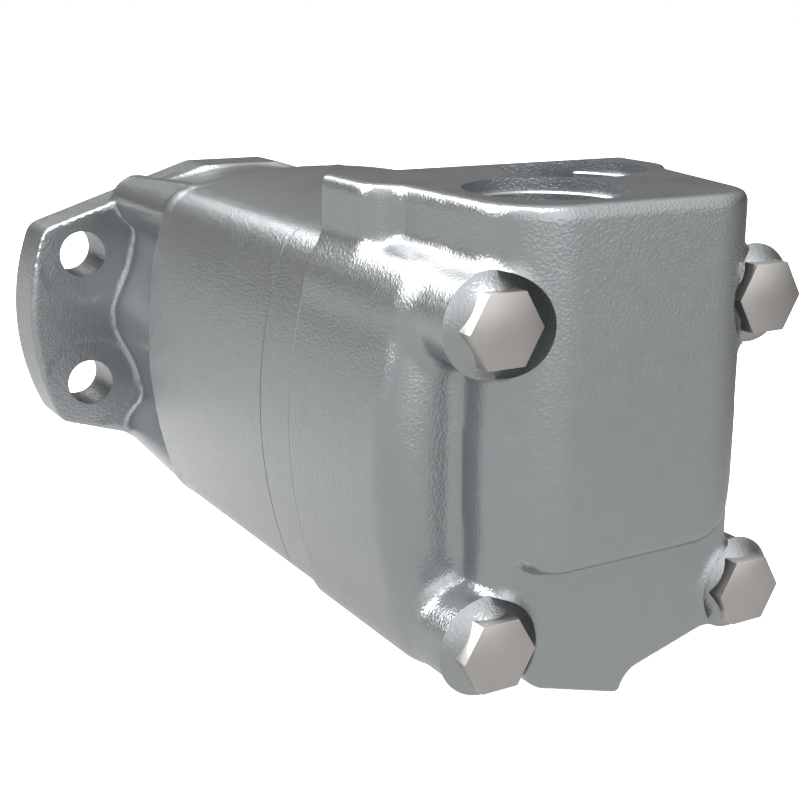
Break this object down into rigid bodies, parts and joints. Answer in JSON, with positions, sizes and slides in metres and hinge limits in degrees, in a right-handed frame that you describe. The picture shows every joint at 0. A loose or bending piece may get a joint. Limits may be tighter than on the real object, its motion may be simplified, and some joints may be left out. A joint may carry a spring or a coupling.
{
  "type": "orbital hydraulic motor",
  "caption": "Low-speed orbital hydraulic motor: piloted mounting flange, keyed output shaft, square-round body of stacked castings, roller rotor set, disc valve and upright side-by-side ports.",
  "frame": {"origin": "centre of the mounting face, on the output shaft's axis", "axes": "+Y along the output shaft and away from the motor, +Z towards the two ports, +X to the right when the motor is seen from its rear"},
  "size_m": [0.1312, 0.2636, 0.1053],
  "materials": {
    "casting": "silver-grey paint over fine cast texture",
    "bolt_steel": "plain zinc-plated steel",
    "shaft_steel": "ground steel",
    "bearing_steel": "ground and lapped steel",
    "hardened_steel": "dark heat-treated steel",
    "cage_brass": "pressed brass",
    "rubber": "matt nitrile rubber"
  },
  "bodies": {
    "housing": {"bearing_housing": "casting", "wear_plate": "casting", "geroler_ring": "casting", "valve_plate": "casting", "port_housing": "casting", "through_bolts": "bolt_steel", "face_seals": "rubber", "dust_seal": "rubber", "seal_retaining_ring": "hardened_steel", "seal_backup_washer": "shaft_steel", "shaft_seal": "rubber", "front_bearing_cup": "bearing_steel", "rear_bearing_cup": "bearing_steel", "bearing_retaining_ring": "hardened_steel", "balance_ring": "shaft_steel", "balance_outer_seal": "rubber", "balance_inner_seal": "rubber", "balance_spring": "hardened_steel", "balance_pins": "hardened_steel"},
    "shaft": {"output_shaft": "shaft_steel", "shaft_key": "hardened_steel", "front_bearing_cone": "bearing_steel", "rear_bearing_cone": "bearing_steel"},
    "front_cage": {"front_bearing_rollers": "bearing_steel", "front_bearing_cage": "cage_brass"},
    "rear_cage": {"rear_bearing_rollers": "bearing_steel", "rear_bearing_cage": "cage_brass"},
    "orbit": {"link_spacer": "hardened_steel"},
    "rotor": {"rotor": "bearing_steel"},
    "drive_link": {"drive_link": "hardened_steel"},
    "valve_link": {"valve_drive_link": "hardened_steel"},
    "valve": {"disc_valve": "shaft_steel"},
    "ring_roller_1": {"ring_roller_1": "bearing_steel"},
    "ring_roller_2": {"ring_roller_2": "bearing_steel"},
    "ring_roller_3": {"ring_roller_3": "bearing_steel"},
    "ring_roller_4": {"ring_roller_4": "bearing_steel"},
    "ring_roller_5": {"ring_roller_5": "bearing_steel"},
    "ring_roller_6": {"ring_roller_6": "bearing_steel"},
    "ring_roller_7": {"ring_roller_7": "bearing_steel"}
  },
  "joints": [
    {"name": "shaft_spin", "type": "hinge", "parent": "housing", "child": "shaft", "pos_m": [0, 0, 0], "axis": [0, 1, 0], "continuous": true},
    {"name": "front_cage_spin", "type": "hinge", "parent": "housing", "child": "front_cage", "pos_m": [0, -0.0259, 0], "axis": [0, 1, 0], "continuous": true},
    {"name": "rear_cage_spin", "type": "hinge", "parent": "housing", "child": "rear_cage", "pos_m": [0, -0.0661, 0], "axis": [0, 1, 0], "continuous": true},
    {"name": "rotor_orbit", "type": "hinge", "parent": "housing", "child": "orbit", "pos_m": [0, -0.1172, 0], "axis": [0, 1, 0], "continuous": true},
    {"name": "rotor_spin", "type": "hinge", "parent": "orbit", "child": "rotor", "pos_m": [0, -0.1172, -0.003], "axis": [0, 1, 0], "continuous": true},
    {"name": "drive_link_spin", "type": "hinge", "parent": "orbit", "child": "drive_link", "pos_m": [0, -0.064, 0], "axis": [0, 0.9981, 0.0619], "continuous": true},
    {"name": "valve_link_spin", "type": "hinge", "parent": "orbit", "child": "valve_link", "pos_m": [0, -0.1547, 0], "axis": [0, 0.9952, -0.0982], "continuous": true},
    {"name": "valve_spin", "type": "hinge", "parent": "housing", "child": "valve", "pos_m": [0, -0.1547, 0], "axis": [0, 1, 0], "continuous": true},
    {"name": "ring_roller_1_spin", "type": "hinge", "parent": "housing", "child": "ring_roller_1", "pos_m": [0, -0.1172, 0.03], "axis": [0, 1, 0], "continuous": true},
    {"name": "ring_roller_2_spin", "type": "hinge", "parent": "housing", "child": "ring_roller_2", "pos_m": [-0.02345, -0.1172, 0.0187], "axis": [0, 1, 0], "continuous": true},
    {"name": "ring_roller_3_spin", "type": "hinge", "parent": "housing", "child": "ring_roller_3", "pos_m": [-0.02925, -0.1172, -0.00668], "axis": [0, 1, 0], "continuous": true},
    {"name": "ring_roller_4_spin", "type": "hinge", "parent": "housing", "child": "ring_roller_4", "pos_m": [-0.01302, -0.1172, -0.02703], "axis": [0, 1, 0], "continuous": true},
    {"name": "ring_roller_5_spin", "type": "hinge", "parent": "housing", "child": "ring_roller_5", "pos_m": [0.01302, -0.1172, -0.02703], "axis": [0, 1, 0], "continuous": true},
    {"name": "ring_roller_6_spin", "type": "hinge", "parent": "housing", "child": "ring_roller_6", "pos_m": [0.02925, -0.1172, -0.00668], "axis": [0, 1, 0], "continuous": true},
    {"name": "ring_roller_7_spin", "type": "hinge", "parent": "housing", "child": "ring_roller_7", "pos_m": [0.02345, -0.1172, 0.0187], "axis": [0, 1, 0], "continuous": true}
  ],
  "couplings": [
    {"joint": "front_cage_spin", "follows": "shaft_spin", "ratio": 0.4384},
    {"joint": "rear_cage_spin", "follows": "shaft_spin", "ratio": 0.4384},
    {"joint": "rotor_orbit", "follows": "shaft_spin", "ratio": -6},
    {"joint": "rotor_spin", "follows": "shaft_spin", "ratio": 7},
    {"joint": "drive_link_spin", "follows": "shaft_spin", "ratio": 7},
    {"joint": "valve_link_spin", "follows": "shaft_spin", "ratio": 7},
    {"joint": "valve_spin", "follows": "shaft_spin", "ratio": 1},
    {"joint": "ring_roller_1_spin", "follows": "shaft_spin", "ratio": -4.12},
    {"joint": "ring_roller_2_spin", "follows": "shaft_spin", "ratio": -4.12},
    {"joint": "ring_roller_3_spin", "follows": "shaft_spin", "ratio": -4.12},
    {"joint": "ring_roller_4_spin", "follows": "shaft_spin", "ratio": -4.12},
    {"joint": "ring_roller_5_spin", "follows": "shaft_spin", "ratio": -4.12},
    {"joint": "ring_roller_6_spin", "follows": "shaft_spin", "ratio": -4.12},
    {"joint": "ring_roller_7_spin", "follows": "shaft_spin", "ratio": -4.12}
  ]
}
